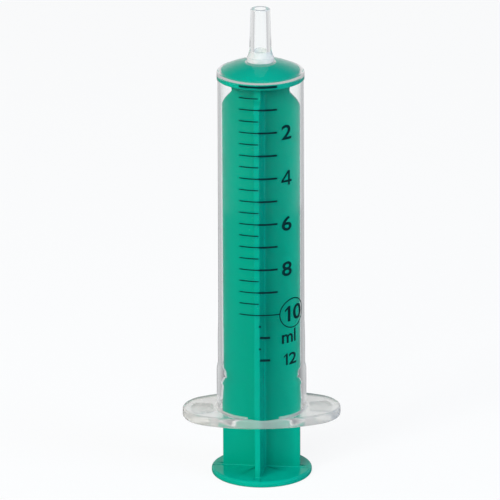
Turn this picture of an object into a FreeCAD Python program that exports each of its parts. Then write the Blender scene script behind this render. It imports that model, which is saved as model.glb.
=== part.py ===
import FreeCAD, Part
import math
import os

# Two-piece luer slip syringe, nominal 10 ml, standing on its thumb rest with the plunger pushed home.
# Millimetres. +Z is up along the common axis, and the origin is the centre of the thumb rest's underside.
# The finger flange is long along X. All radii are measured from the axis.

# Bore of the barrel: the size that the volume scale and the plunger follow
BORE_RADIUS = 8.12

# Stack of heights, from the table up
THUMB_THICKNESS = 1.35
GRIP_GAP = 10.95          # thumb rest to flange with the plunger pushed home
FLANGE_THICKNESS = 2.1
COLLAR_HEIGHT = 8.6       # thick stretch of the barrel above the flange
BODY_HEIGHT = 63.2        # collar to the rim at the nozzle end
NOZZLE_LENGTH = 8.7       # tapered stretch that goes into the fitting

# Barrel wall, thin at the nozzle end and thicker towards the flange
BODY_TOP_RADIUS = 8.70
BODY_LOW_RADIUS = 8.81
FOOT_RADIUS = 8.92        # last stretch above the collar
FOOT_HEIGHT = 6.2
FOOT_SLOPE = 4.0
COLLAR_RADIUS = 9.18
COLLAR_SLOPE = 0.5
COLLAR_FLARE = 0.45       # concave foot where the collar meets the flange

# Rim bead and domed end wall
BEAD_RADIUS = 8.88
BEAD_HEIGHT = 1.3
BEAD_SLOPE = 0.5
RIM_ROUND = 0.5
DOME_RADIUS = 17.5        # sphere that the end wall's outside follows
END_WALL = 0.9
INNER_ROUND = 0.35

# Male luer nozzle, 6 per cent taper on the diameter
LUER_TAPER = 0.06
TIP_RADIUS = 1.96
TIP_ROUND = 0.15
TIP_BORE_RADIUS = 1.12
BASE_BORE_RADIUS = 1.38
NOZZLE_FLARE_HEIGHT = 1.3
BOSS_RADIUS = 2.75
BOSS_HEIGHT = 0.9
BOSS_ROUND = 0.15

# Inside of the open end: retaining ring and lead-in for the plunger's head
RING_DEPTH = 0.09
RING_WIDTH = 2.4
RING_HEIGHT = 9.0         # ring's middle above the flange's underside
LEAD_IN_HEIGHT = 5.2
LEAD_IN_SLOPE = 0.5
LEAD_IN_DEPTH = 0.16
MOUTH_DEPTH = 0.30
MOUTH_ROUND = 0.3

# Finger flange: an oval of two long and two short arcs, cored out under both wings
FLANGE_LENGTH = 32.4
FLANGE_DEPTH = 18.6
FLANGE_END_ARC = 7.2
FLANGE_EDGE = 0.5
POCKET_DEPTH = 0.8
POCKET_START = 9.9
POCKET_END_WALL = 1.7
POCKET_INNER_WIDTH = 5.0
POCKET_OUTER_WIDTH = 7.6
POCKET_ROUND = 0.4

# Clearances between the two pieces
SEAL_CLEARANCE = 0.04
RIB_CLEARANCE = 0.17
SEAT_GAP = 0.06

# Plunger head: a thin domed shell with a sealing lip
HEAD_WALL = 1.2
LIP_HEIGHT = 0.5
LIP_WIDTH = 0.9
LIP_ROUND = 0.12
HEAD_ROUND = 0.5

# Plunger rod: four ribs that thin towards their edges, cut back to a neck under the head
PLUNGER_TURN = -8.6       # degrees about the axis, against the flange
RIB_COUNT = 4
RIB_ROOT = 1.45
RIB_EDGE = 1.10
RIB_ROOT_FILLET = 0.5
RIB_EDGE_ROUND = 0.14
RIB_FOOT_FILLET = 0.3
NECK_RADIUS = 5.85
NECK_LENGTH = 2.15        # lip's lower edge to where the ribs start to widen
NECK_ARC = 1.2
SHOULDER_ARC = 4.2
SHOULDER_ANGLE = 45.0

# Thumb rest
THUMB_RADIUS = 10.3
THUMB_ROUND = 0.5

# How far from level an edge may read and still count as level
LEVEL_TOLERANCE = 0.001

# Heights that follow from the stack
flange_low = THUMB_THICKNESS + GRIP_GAP
flange_top = flange_low + FLANGE_THICKNESS
collar_top = flange_top + COLLAR_HEIGHT
rim_top = collar_top + BODY_HEIGHT
rim_flat_radius = BEAD_RADIUS - RIM_ROUND
dome_centre = rim_top - math.sqrt(DOME_RADIUS ** 2 - rim_flat_radius ** 2)
inner_dome_radius = DOME_RADIUS - END_WALL
head_dome_radius = inner_dome_radius - SEAT_GAP
head_radius = BORE_RADIUS - SEAL_CLEARANCE
rib_radius = BORE_RADIUS - RIB_CLEARANCE


def dome_height(sphere_radius, radius):
    """Height of a sphere about the dome's centre, at a distance from the axis."""
    return dome_centre + math.sqrt(sphere_radius ** 2 - radius ** 2)


def at(radius, height):
    """Point of a turned outline."""
    return FreeCAD.Vector(radius, 0, height)


def from_axis(edge):
    """Distance of an edge's middle from the axis."""
    return math.hypot(edge.CenterOfMass.x, edge.CenterOfMass.y)


def lies_level(edge, height):
    """Whether an edge lies flat at a height."""
    box = edge.BoundBox
    return abs(box.ZMin - height) < LEVEL_TOLERANCE and abs(box.ZMax - height) < LEVEL_TOLERANCE


def outline_edges(start, steps):
    """Edges of an open outline: a step is an end point, or a pair of a point on an arc and its end."""
    edges = []
    here = start
    for step in steps:
        if isinstance(step, tuple):
            through, end = step
            edges.append(Part.Arc(here, through, end).toShape())
        else:
            end = step
            edges.append(Part.LineSegment(here, end).toShape())
        here = end
    return edges


def turned(start, steps):
    """Solid of revolution about Z from an outline that is closed back to its start."""
    edges = outline_edges(start, steps + [start])
    face = Part.Face(Part.Wire(edges))
    return face.revolve(FreeCAD.Vector(0, 0, 0), FreeCAD.Vector(0, 0, 1), 360)


def corner(centre_radius, centre_height, radius, from_degrees, to_degrees):
    """Step that rounds a corner: a point on the arc and its end."""
    middle = math.radians((from_degrees + to_degrees) / 2)
    last = math.radians(to_degrees)
    through = at(centre_radius + radius * math.cos(middle), centre_height + radius * math.sin(middle))
    end = at(centre_radius + radius * math.cos(last), centre_height + radius * math.sin(last))
    return through, end


def dome_step(sphere_radius, from_radius, to_radius):
    """Step along a sphere about the dome's centre."""
    middle = (from_radius + to_radius) / 2
    through = at(middle, dome_height(sphere_radius, middle))
    return through, at(to_radius, dome_height(sphere_radius, to_radius))


def barrel_outside():
    """Nozzle, domed end, bead, drafted wall and collar, solid."""
    boss_foot = dome_height(DOME_RADIUS, BOSS_RADIUS)
    boss_top = boss_foot + BOSS_HEIGHT
    nozzle_base = boss_top + NOZZLE_FLARE_HEIGHT
    tip_top = nozzle_base + NOZZLE_LENGTH
    base_radius = TIP_RADIUS + NOZZLE_LENGTH * LUER_TAPER / 2
    bead_low = rim_top - RIM_ROUND - BEAD_HEIGHT
    foot_top = collar_top + FOOT_HEIGHT
    steps = [
        at(TIP_RADIUS - TIP_ROUND, tip_top),
        corner(TIP_RADIUS - TIP_ROUND, tip_top - TIP_ROUND, TIP_ROUND, 90, 0),
        at(base_radius, nozzle_base),
        at(BOSS_RADIUS - BOSS_ROUND, boss_top),
        corner(BOSS_RADIUS - BOSS_ROUND, boss_top - BOSS_ROUND, BOSS_ROUND, 90, 0),
        at(BOSS_RADIUS, boss_foot),
        dome_step(DOME_RADIUS, BOSS_RADIUS, rim_flat_radius),
        corner(rim_flat_radius, rim_top - RIM_ROUND, RIM_ROUND, 90, 0),
        at(BEAD_RADIUS, bead_low),
        at(BODY_TOP_RADIUS, bead_low - BEAD_SLOPE),
        at(BODY_LOW_RADIUS, foot_top + FOOT_SLOPE),
        at(FOOT_RADIUS, foot_top),
        at(FOOT_RADIUS, collar_top + COLLAR_SLOPE),
        at(COLLAR_RADIUS, collar_top),
        at(COLLAR_RADIUS, flange_low + FLANGE_THICKNESS / 2),
        at(0, flange_low + FLANGE_THICKNESS / 2),
    ]
    return turned(at(0, tip_top), steps)


def barrel_cavity():
    """Bore with its mouth, lead-in and retaining ring, inner dome and nozzle bore."""
    boss_foot = dome_height(DOME_RADIUS, BOSS_RADIUS)
    tip_top = boss_foot + BOSS_HEIGHT + NOZZLE_FLARE_HEIGHT + NOZZLE_LENGTH
    mouth_radius = BORE_RADIUS + MOUTH_DEPTH
    lead_in_top = flange_low + LEAD_IN_HEIGHT
    ring_middle = flange_low + RING_HEIGHT
    ring_low = at(BORE_RADIUS, ring_middle - RING_WIDTH / 2)
    ring_high = at(BORE_RADIUS, ring_middle + RING_WIDTH / 2)
    round_centre_radius = BORE_RADIUS - INNER_ROUND
    round_sphere = inner_dome_radius - INNER_ROUND
    round_centre = dome_height(round_sphere, round_centre_radius)
    round_angle = math.degrees(math.acos(round_centre_radius / round_sphere))
    dome_meets = inner_dome_radius * round_centre_radius / round_sphere
    steps = [
        at(mouth_radius + 2 * MOUTH_ROUND, flange_low - MOUTH_ROUND),
        at(mouth_radius + MOUTH_ROUND, flange_low),
        corner(mouth_radius + MOUTH_ROUND, flange_low + MOUTH_ROUND, MOUTH_ROUND, 270, 180),
        at(BORE_RADIUS + LEAD_IN_DEPTH, lead_in_top - LEAD_IN_SLOPE),
        at(BORE_RADIUS, lead_in_top),
        ring_low,
        (at(BORE_RADIUS - RING_DEPTH, ring_middle), ring_high),
        at(BORE_RADIUS, round_centre),
        corner(round_centre_radius, round_centre, INNER_ROUND, 0, round_angle),
        dome_step(inner_dome_radius, dome_meets, BASE_BORE_RADIUS),
        at(TIP_BORE_RADIUS, tip_top + TIP_ROUND),
        at(0, tip_top + TIP_ROUND),
    ]
    return turned(at(0, flange_low - MOUTH_ROUND), steps)


def oval_prism(inset, low, height):
    """Upright prism on the flange's four-arc oval, drawn in by an inset."""
    half_length = FLANGE_LENGTH / 2 - inset
    half_depth = FLANGE_DEPTH / 2 - inset
    end_arc = FLANGE_END_ARC - inset
    end_centre = half_length - end_arc
    side_arc = (end_centre ** 2 + half_depth ** 2 - end_arc ** 2) / (2 * (half_depth - end_arc))
    side_centre = side_arc - half_depth
    reach = math.hypot(end_centre, side_centre)
    meet_x = end_centre * side_arc / reach
    meet_y = side_centre * side_arc / reach - side_centre

    def spot(x, y):
        return FreeCAD.Vector(x, y, low)

    edges = [
        Part.Arc(spot(meet_x, -meet_y), spot(half_length, 0), spot(meet_x, meet_y)).toShape(),
        Part.Arc(spot(meet_x, meet_y), spot(0, half_depth), spot(-meet_x, meet_y)).toShape(),
        Part.Arc(spot(-meet_x, meet_y), spot(-half_length, 0), spot(-meet_x, -meet_y)).toShape(),
        Part.Arc(spot(-meet_x, -meet_y), spot(0, -half_depth), spot(meet_x, -meet_y)).toShape(),
    ]
    return Part.Face(Part.Wire(edges)).extrude(FreeCAD.Vector(0, 0, height))


def flange_plate():
    """Oval plate with its top and bottom edges rounded."""
    plate = oval_prism(0, flange_low, FLANGE_THICKNESS)
    rims = [edge for edge in plate.Edges if edge.BoundBox.ZLength < LEVEL_TOLERANCE]
    return plate.makeFillet(FLANGE_EDGE, rims)


def collar_flare():
    """Concave foot of the collar, kept to the flat top of the flange."""
    outer = COLLAR_RADIUS + COLLAR_FLARE
    steps = [
        at(outer, flange_top - FLANGE_EDGE),
        at(outer, flange_top),
        corner(outer, flange_top + COLLAR_FLARE, COLLAR_FLARE, 270, 180),
        at(BORE_RADIUS + (COLLAR_RADIUS - BORE_RADIUS) / 2, flange_top + COLLAR_FLARE),
    ]
    ring = turned(at(BORE_RADIUS + (COLLAR_RADIUS - BORE_RADIUS) / 2, flange_top - FLANGE_EDGE), steps)
    return ring.common(oval_prism(FLANGE_EDGE, flange_low, FLANGE_THICKNESS + 2 * COLLAR_FLARE))


def wing_pocket(side):
    """Shallow recess under one wing, widening outwards and ending along the oval."""
    end = FLANGE_LENGTH / 2
    bottom = flange_low - POCKET_DEPTH
    corners = [
        FreeCAD.Vector(side * POCKET_START, -POCKET_INNER_WIDTH / 2, bottom),
        FreeCAD.Vector(side * end, -POCKET_OUTER_WIDTH / 2, bottom),
        FreeCAD.Vector(side * end, POCKET_OUTER_WIDTH / 2, bottom),
        FreeCAD.Vector(side * POCKET_START, POCKET_INNER_WIDTH / 2, bottom),
    ]
    height = 2 * POCKET_DEPTH
    wedge = Part.Face(Part.makePolygon(corners + corners[:1])).extrude(FreeCAD.Vector(0, 0, height))
    pocket = wedge.common(oval_prism(POCKET_END_WALL, bottom, height))
    uprights = [edge for edge in pocket.Edges if edge.BoundBox.ZLength > POCKET_DEPTH]
    return pocket.makeFillet(POCKET_ROUND, uprights)


def barrel():
    """Clear barrel, moulded in one with its nozzle and finger flange."""
    body = barrel_outside().fuse([flange_plate(), collar_flare()])
    body = body.cut(barrel_cavity())
    body = body.cut([wing_pocket(-1), wing_pocket(1)])
    return body.removeSplitter()


def plunger_head():
    """Domed shell with a sealing lip that hangs below it."""
    lip_low = dome_height(head_dome_radius, head_radius) - LIP_HEIGHT - HEAD_ROUND
    skirt_radius = head_radius - LIP_WIDTH
    shell_radius = head_dome_radius - HEAD_WALL
    round_centre_radius = head_radius - HEAD_ROUND
    round_sphere = head_dome_radius - HEAD_ROUND
    round_centre = dome_height(round_sphere, round_centre_radius)
    round_angle = math.degrees(math.acos(round_centre_radius / round_sphere))
    dome_meets = head_dome_radius * round_centre_radius / round_sphere
    steps = [
        dome_step(head_dome_radius, 0, dome_meets),
        corner(round_centre_radius, round_centre, HEAD_ROUND, round_angle, 0),
        at(head_radius, lip_low + LIP_ROUND),
        corner(head_radius - LIP_ROUND, lip_low + LIP_ROUND, LIP_ROUND, 0, -90),
        at(skirt_radius + LIP_ROUND, lip_low),
        corner(skirt_radius + LIP_ROUND, lip_low + LIP_ROUND, LIP_ROUND, 270, 180),
        at(skirt_radius, dome_height(shell_radius, skirt_radius)),
        dome_step(shell_radius, skirt_radius, 0),
    ]
    return turned(at(0, dome_height(head_dome_radius, 0)), steps)


def rib_cross(low, height):
    """Star of tapering ribs, with hollow corners at the root and softened edges."""
    ribs = []
    for number in range(RIB_COUNT):
        corners = [
            FreeCAD.Vector(0, -RIB_ROOT / 2, low),
            FreeCAD.Vector(rib_radius, -RIB_EDGE / 2, low),
            FreeCAD.Vector(rib_radius, RIB_EDGE / 2, low),
            FreeCAD.Vector(0, RIB_ROOT / 2, low),
        ]
        rib = Part.Face(Part.makePolygon(corners + corners[:1])).extrude(FreeCAD.Vector(0, 0, height))
        rib.rotate(FreeCAD.Vector(0, 0, 0), FreeCAD.Vector(0, 0, 1), number * 360 / RIB_COUNT)
        ribs.append(rib)
    star = ribs[0].fuse(ribs[1:]).removeSplitter()
    uprights = [edge for edge in star.Edges if edge.BoundBox.ZLength > height / 2]
    roots = [edge for edge in uprights if from_axis(edge) < rib_radius / 2]
    star = star.makeFillet(RIB_ROOT_FILLET, roots)
    uprights = [edge for edge in star.Edges if edge.BoundBox.ZLength > height / 2]
    tips = [edge for edge in uprights if from_axis(edge) > rib_radius - RIB_EDGE]
    return star.makeFillet(RIB_EDGE_ROUND, tips)


def rib_envelope(low, lip_low):
    """Turned shape that the ribs are kept to: full width, shoulder, neck, and up inside the head."""
    angle = math.radians(SHOULDER_ANGLE)
    neck_low = lip_low - NECK_LENGTH
    neck_in = NECK_ARC * (1 - math.cos(angle))
    neck_down = NECK_ARC * math.sin(angle)
    shoulder_in = SHOULDER_ARC * (1 - math.cos(angle))
    shoulder_down = SHOULDER_ARC * math.sin(angle)
    clear_radius = rib_radius + RIB_EDGE / 4
    slope_start = NECK_RADIUS + neck_in
    slope_end = clear_radius - shoulder_in
    slope_down = (slope_end - slope_start) * math.tan(angle)
    shoulder_top = neck_low - neck_down - slope_down
    inside = head_dome_radius - HEAD_WALL / 2
    turn = SHOULDER_ANGLE
    steps = [
        at(clear_radius, low),
        at(clear_radius, shoulder_top - shoulder_down),
        corner(clear_radius - SHOULDER_ARC, shoulder_top - shoulder_down, SHOULDER_ARC, 0, turn),
        at(slope_start, neck_low - neck_down),
        corner(NECK_RADIUS + NECK_ARC, neck_low, NECK_ARC, 180 + turn, 180),
        at(NECK_RADIUS, dome_height(inside, NECK_RADIUS)),
        dome_step(inside, NECK_RADIUS, 0),
    ]
    return turned(at(0, low), steps)


def thumb_rest():
    """Round disc with soft edges."""
    flat = THUMB_RADIUS - THUMB_ROUND
    steps = [
        at(flat, 0),
        corner(flat, THUMB_ROUND, THUMB_ROUND, 270, 360),
        at(THUMB_RADIUS, THUMB_THICKNESS - THUMB_ROUND),
        corner(flat, THUMB_THICKNESS - THUMB_ROUND, THUMB_ROUND, 0, 90),
        at(0, THUMB_THICKNESS),
    ]
    return turned(at(0, 0), steps)


def plunger():
    """Plunger, moulded in one: thumb rest, ribbed rod and head."""
    lip_low = dome_height(head_dome_radius, head_radius) - LIP_HEIGHT - HEAD_ROUND
    low = THUMB_THICKNESS / 2
    height = dome_height(head_dome_radius, 0) - low
    ribs = rib_cross(low, height).common(rib_envelope(low, lip_low))
    lower = ribs.fuse(thumb_rest()).removeSplitter()
    level = [edge for edge in lower.Edges if lies_level(edge, THUMB_THICKNESS)]
    feet = [edge for edge in level if edge.Length < THUMB_RADIUS]
    lower = lower.makeFillet(RIB_FOOT_FILLET, feet)
    whole = lower.fuse(plunger_head()).removeSplitter()
    whole.rotate(FreeCAD.Vector(0, 0, 0), FreeCAD.Vector(0, 0, 1), PLUNGER_TURN)
    return whole


def main():
    os.makedirs("parts", exist_ok=True)
    pieces = {"barrel": barrel(), "plunger": plunger()}
    for name, shape in pieces.items():
        shape.exportStep("parts/" + name + ".step")
        box = shape.BoundBox
        print(name, "solids", len(shape.Solids), "valid", shape.isValid(), "volume", round(shape.Volume, 2))
        print("  x", round(box.XMin, 3), round(box.XMax, 3), "y", round(box.YMin, 3), round(box.YMax, 3),
              "z", round(box.ZMin, 3), round(box.ZMax, 3))


main()
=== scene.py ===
"""Looks of a clear two-piece luer slip syringe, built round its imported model.

Z runs up the syringe's axis from the thumb rest's underside, and the volume scale faces -Y.
The classes hold their sizes in millimetres. Meshes are made in metres, in the frame's own place.
"""

import logging
import math
from collections.abc import Callable
from dataclasses import dataclass, field
from enum import Enum

import bmesh
import bpy
from mathutils import Matrix, Vector


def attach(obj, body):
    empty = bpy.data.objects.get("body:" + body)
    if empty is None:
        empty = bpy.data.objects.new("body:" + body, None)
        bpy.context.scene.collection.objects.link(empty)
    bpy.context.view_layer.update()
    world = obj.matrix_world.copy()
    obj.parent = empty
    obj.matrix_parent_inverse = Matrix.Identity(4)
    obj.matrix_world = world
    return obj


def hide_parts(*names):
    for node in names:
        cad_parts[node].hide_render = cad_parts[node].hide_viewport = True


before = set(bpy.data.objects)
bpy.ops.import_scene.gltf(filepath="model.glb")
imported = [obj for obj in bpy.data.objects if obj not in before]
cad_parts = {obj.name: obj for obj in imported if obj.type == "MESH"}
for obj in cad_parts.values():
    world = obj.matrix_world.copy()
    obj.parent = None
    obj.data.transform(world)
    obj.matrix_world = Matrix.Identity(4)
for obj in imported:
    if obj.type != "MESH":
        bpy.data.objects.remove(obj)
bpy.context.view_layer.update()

MM = 0.001
LOG = logging.getLogger("syringe")

Point = tuple[float, float]
Triple = tuple[float, float, float]
Loop = tuple[Point, ...]
Piece = bpy.types.Object
Socket = bpy.types.NodeSocket
EdgeTest = Callable[[Vector, Vector], bool]

PATTERN: Point = (0.3, 0.7)      # span that most of a noise pattern stays in
MILLILITRE = 1000.0              # cubic millimetres


class Joining(Enum):
    """Ways to combine two closed shapes."""

    UNITE = "UNION"
    CUT = "DIFFERENCE"
    KEEP_COMMON = "INTERSECT"


class Body(Enum):
    """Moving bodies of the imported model."""

    BARREL = "barrel"
    PLUNGER = "plunger"


@dataclass
class Outline:
    """Line drawn from point to point, in millimetres."""

    points: list[Point] = field(default_factory=list)

    def to(self, first: float, second: float) -> "Outline":
        """Adds one point and returns the outline."""
        self.points.append((first, second))
        return self

    def arc(self, centre: Point, radius: float, start: float, end: float, steps: int = 6) -> "Outline":
        """Adds points along an arc.

        Args:
            centre: The arc's centre.
            radius: The arc's radius.
            start: Angle of the first point, in degrees.
            end: Angle of the last point, in degrees.
            steps: Number of stretches between the first point and the last.

        Returns:
            The outline.
        """
        x, y = centre
        for step in range(steps + 1):
            angle = math.radians(start + (end - start) * step / steps)
            self.to(x + radius * math.cos(angle), y + radius * math.sin(angle))
        return self


class Bench:
    """Modelling steps that the pieces share."""

    MERGE = 0.0005        # millimetres within which two points are one
    LEVEL = 0.01          # millimetres within which two heights are the same
    TRIES = 3             # times that a combined shape is made at most
    EVENNESS = 80         # above 50, large faces rule the shading beside small ones

    @staticmethod
    def deselect() -> None:
        """Leaves edit mode and selects nothing."""
        if bpy.context.object and bpy.context.object.mode != "OBJECT":
            bpy.ops.object.mode_set(mode="OBJECT")
        bpy.ops.object.select_all(action="DESELECT")

    @classmethod
    def pick(cls, piece: Piece) -> None:
        """Makes a piece the only selected and active object.

        Args:
            piece: The object to work on.
        """
        cls.deselect()
        piece.select_set(True)
        bpy.context.view_layer.objects.active = piece

    @classmethod
    def draw(cls, name: str, places: list[Vector]) -> Piece:
        """Draws a line through places, and stays in edit mode with all of it selected.

        Args:
            name: Name of the new object.
            places: Points of the line, in millimetres.

        Returns:
            The new object.
        """
        cls.deselect()
        bpy.ops.mesh.primitive_plane_add(size=MM, location=places[0] * MM, enter_editmode=True)
        piece = bpy.context.object
        piece.name = name
        bpy.ops.mesh.select_mode(type="VERT")
        bpy.ops.mesh.merge(type="CENTER")
        for here, there in zip(places, places[1:]):
            bpy.ops.mesh.extrude_region_move(TRANSFORM_OT_translate={"value": (there - here) * MM})
        bpy.ops.mesh.select_all(action="SELECT")
        bpy.ops.mesh.remove_doubles(threshold=cls.MERGE * MM)
        return piece

    @classmethod
    def close(cls, piece: Piece) -> Piece:
        """Merges seams and poles, turns the faces outwards and settles the piece in the frame.

        Args:
            piece: The object in edit mode.

        Returns:
            The same object, in object mode.
        """
        bpy.ops.mesh.select_all(action="SELECT")
        bpy.ops.mesh.remove_doubles(threshold=cls.MERGE * MM)
        bpy.ops.mesh.normals_make_consistent(inside=False)
        cls.pick(piece)
        bpy.ops.object.transform_apply(location=True, rotation=True, scale=True)
        return piece

    @classmethod
    def lathe(cls, name: str, outline: Outline, facets: int) -> Piece:
        """Spins a half-section about the axis.

        Args:
            name: Name of the new object.
            outline: Half-section of (radius, height) points. It is closed, or open along the axis.
            facets: Number of facets round the axis.

        Returns:
            The closed shape.
        """
        places = [Vector((radius, 0, height)) for radius, height in outline.points]
        if places[0].x > cls.MERGE:
            places.append(places[0])
        piece = cls.draw(name, places)
        bpy.ops.mesh.spin(steps=facets, angle=math.tau, center=(0, 0, 0), axis=(0, 0, 1))
        return cls.close(piece)

    @classmethod
    def prism(cls, name: str, outline: Outline, low: float, height: float) -> Piece:
        """Raises a plan outline into an upright solid.

        Args:
            name: Name of the new object.
            outline: Plan of (x, y) points.
            low: Height of the underside.
            height: Height of the solid.

        Returns:
            The closed shape.
        """
        places = [Vector((x, y, low)) for x, y in outline.points]
        piece = cls.draw(name, places + places[:1])
        bpy.ops.mesh.edge_face_add()
        bpy.ops.mesh.extrude_region_move(TRANSFORM_OT_translate={"value": (0, 0, height * MM)})
        return cls.close(piece)

    @classmethod
    def round_edges(cls, piece: Piece, wanted: EdgeTest, radius: float, segments: int = 4) -> None:
        """Rounds the edges that a test names.

        Args:
            piece: The object to work on.
            wanted: Test of an edge's two ends, given in millimetres.
            radius: Size of the rounding.
            segments: Number of faces across the rounding.
        """
        cls.pick(piece)
        bpy.ops.object.mode_set(mode="EDIT")
        bpy.ops.mesh.select_mode(type="EDGE")
        bpy.ops.mesh.select_all(action="DESELECT")
        mesh = bmesh.from_edit_mesh(piece.data)
        for edge in mesh.edges:
            ends = [vertex.co / MM for vertex in edge.verts]
            edge.select_set(wanted(*ends))
        bmesh.update_edit_mesh(piece.data)
        bpy.ops.mesh.bevel(offset=radius * MM, segments=segments, profile=0.5, affect="EDGES")
        cls.pick(piece)

    @staticmethod
    def heights(piece: Piece) -> Point:
        """Gives the lowest and the highest point of a piece."""
        levels = [vertex.co.z for vertex in piece.data.vertices]
        return min(levels, default=0.0), max(levels, default=0.0)

    @classmethod
    def combine(cls, piece: Piece, other: Piece, joining: Joining) -> None:
        """Combines a piece with another shape, which is used up.

        A result that lacks a part of its height is made again.

        Args:
            piece: The object that stays.
            other: The object that is used up.
            joining: How the two are combined.
        """
        low, high = cls.heights(piece)
        other_low, other_high = cls.heights(other)
        if joining is Joining.UNITE:
            low, high = min(low, other_low), max(high, other_high)
        if joining is Joining.KEEP_COMMON:
            low, high = max(low, other_low), min(high, other_high)
        before = piece.data.copy()
        for tries_left in reversed(range(cls.TRIES)):
            cls.pick(piece)
            modifier = piece.modifiers.new(joining.name.lower(), "BOOLEAN")
            modifier.operation = joining.value
            modifier.solver = "EXACT"
            modifier.object = other
            bpy.ops.object.modifier_apply(modifier=modifier.name)
            made_low, made_high = cls.heights(piece)
            if max(abs(made_low - low), abs(made_high - high)) < cls.LEVEL * MM:
                break
            LOG.warning("%s: height %.3f to %.3f instead of %.3f to %.3f", piece.name,
                        made_low / MM, made_high / MM, low / MM, high / MM)
            if tries_left:
                piece.data = before.copy()
        bpy.data.meshes.remove(before)
        bpy.data.objects.remove(other)

    @classmethod
    def smooth(cls, piece: Piece, degrees: float = 20.0) -> None:
        """Shades a piece smooth, apart from sharp edges, and keeps large faces even beside small ones.

        Args:
            piece: The object to shade.
            degrees: Least angle of a sharp edge.
        """
        cls.pick(piece)
        bpy.ops.object.shade_smooth_by_angle(angle=math.radians(degrees))
        weighted = piece.modifiers.new("even shading", "WEIGHTED_NORMAL")
        weighted.keep_sharp = True
        weighted.weight = cls.EVENNESS
        bpy.ops.object.modifier_apply(modifier=weighted.name)


class NodeSheet:
    """A new node tree of a material or a world, with short ways to add and join nodes."""

    def __init__(self, holder: bpy.types.ID) -> None:
        """Starts an empty tree.

        Args:
            holder: The material or world that holds it.
        """
        holder.use_nodes = True
        self.tree = holder.node_tree
        self.tree.nodes.clear()

    def add(self, kind: str, **settings: object) -> bpy.types.Node:
        """Adds a node.

        Args:
            kind: The node's type, without its ShaderNode prefix.
            settings: Properties of the node.

        Returns:
            The new node.
        """
        node = self.tree.nodes.new("ShaderNode" + kind)
        for name, value in settings.items():
            setattr(node, name, value)
        return node

    def join(self, source: Socket, target: Socket) -> None:
        """Links an output to an input."""
        self.tree.links.new(source, target)

    def noise(self, per_mm: float, detail: float = 2.0, stretch: Triple = (1, 1, 1)) -> Socket:
        """Adds a noise pattern on Object coordinates.

        Args:
            per_mm: Number of noise cells in a millimetre.
            detail: Depth of finer noise.
            stretch: Scale of the pattern along each axis.

        Returns:
            The noise's output.
        """
        coordinates = self.add("TexCoord")
        mapping = self.add("Mapping")
        mapping.inputs["Scale"].default_value = stretch
        pattern = self.add("TexNoise")
        pattern.inputs["Scale"].default_value = per_mm / MM
        pattern.inputs["Detail"].default_value = detail
        self.join(coordinates.outputs["Object"], mapping.inputs["Vector"])
        self.join(mapping.outputs["Vector"], pattern.inputs["Vector"])
        return pattern.outputs["Fac"]

    def tint(self, source: Socket, first: Triple, second: Triple) -> Socket:
        """Maps a pattern onto two colours.

        Args:
            source: The pattern.
            first: Colour at the start of the pattern's span.
            second: Colour at its end.

        Returns:
            The colour's output.
        """
        ramp = self.add("ValToRGB")
        for element, place, colour in zip(ramp.color_ramp.elements, PATTERN, (first, second)):
            element.position = place
            element.color = (*colour, 1)
        self.join(source, ramp.inputs["Fac"])
        return ramp.outputs["Color"]

    def bump(self, source: Socket, depth: float) -> Socket:
        """Turns a pattern into a slight unevenness.

        Args:
            source: The pattern.
            depth: Height of the unevenness, in millimetres.

        Returns:
            The normal's output.
        """
        node = self.add("Bump")
        node.inputs["Strength"].default_value = 1.0
        node.inputs["Distance"].default_value = depth * MM
        self.join(source, node.inputs["Height"])
        return node.outputs["Normal"]

    def put(self, value: Socket | float, target: Socket) -> None:
        """Gives an input a number or the value of an output.

        Args:
            value: The output or number.
            target: The input.
        """
        if isinstance(value, Socket):
            self.join(value, target)
        else:
            target.default_value = value

    def plastic(self, pattern: Socket, colours: tuple[Triple, Triple],
                roughness: Point) -> bpy.types.Node:
        """Adds a plastic surface whose colour and roughness follow a pattern.

        Args:
            pattern: The pattern.
            colours: Colours at the start and the end of the pattern's span.
            roughness: Roughness at both.

        Returns:
            The surface's node.
        """
        node = self.add("BsdfPrincipled")
        self.join(self.tint(pattern, *colours), node.inputs["Base Color"])
        self.join(self.blend(pattern, PATTERN, *roughness), node.inputs["Roughness"])
        return node

    def maths(self, operation: str, first: Socket | float, second: Socket | float) -> Socket:
        """Works a value out of two others and keeps it between 0 and 1.

        Args:
            operation: Name of the Math node's operation.
            first: An output or a number.
            second: An output or a number.

        Returns:
            The value's output.
        """
        node = self.add("Math", operation=operation, use_clamp=True)
        for value, target in zip((first, second), node.inputs):
            self.put(value, target)
        return node.outputs["Value"]

    def blend(self, source: Socket, span: Point, low: Socket | float, high: Socket | float) -> Socket:
        """Moves evenly from one value to another as a third goes through a span.

        Args:
            source: The value that goes through the span.
            span: The span's start and end.
            low: Value or output at the start.
            high: Value or output at the end.

        Returns:
            The blended output.
        """
        node = self.add("MapRange")
        self.join(source, node.inputs["Value"])
        node.inputs["From Min"].default_value, node.inputs["From Max"].default_value = span
        self.put(low, node.inputs["To Min"])
        self.put(high, node.inputs["To Max"])
        return node.outputs["Result"]

    def mix(self, share: Socket, first: Socket, second: Socket) -> Socket:
        """Mixes two shaders.

        Args:
            share: Share of the second shader.
            first: The first shader.
            second: The second shader.

        Returns:
            The mixed shader's output.
        """
        node = self.add("MixShader")
        self.join(share, node.inputs["Fac"])
        self.join(first, node.inputs[1])
        self.join(second, node.inputs[2])
        return node.outputs["Shader"]

    def show(self, shader: Socket, output: str = "OutputMaterial") -> None:
        """Puts a shader on the surface of a material, or of a world where the output node says so."""
        self.join(shader, self.add(output).inputs["Surface"])


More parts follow.
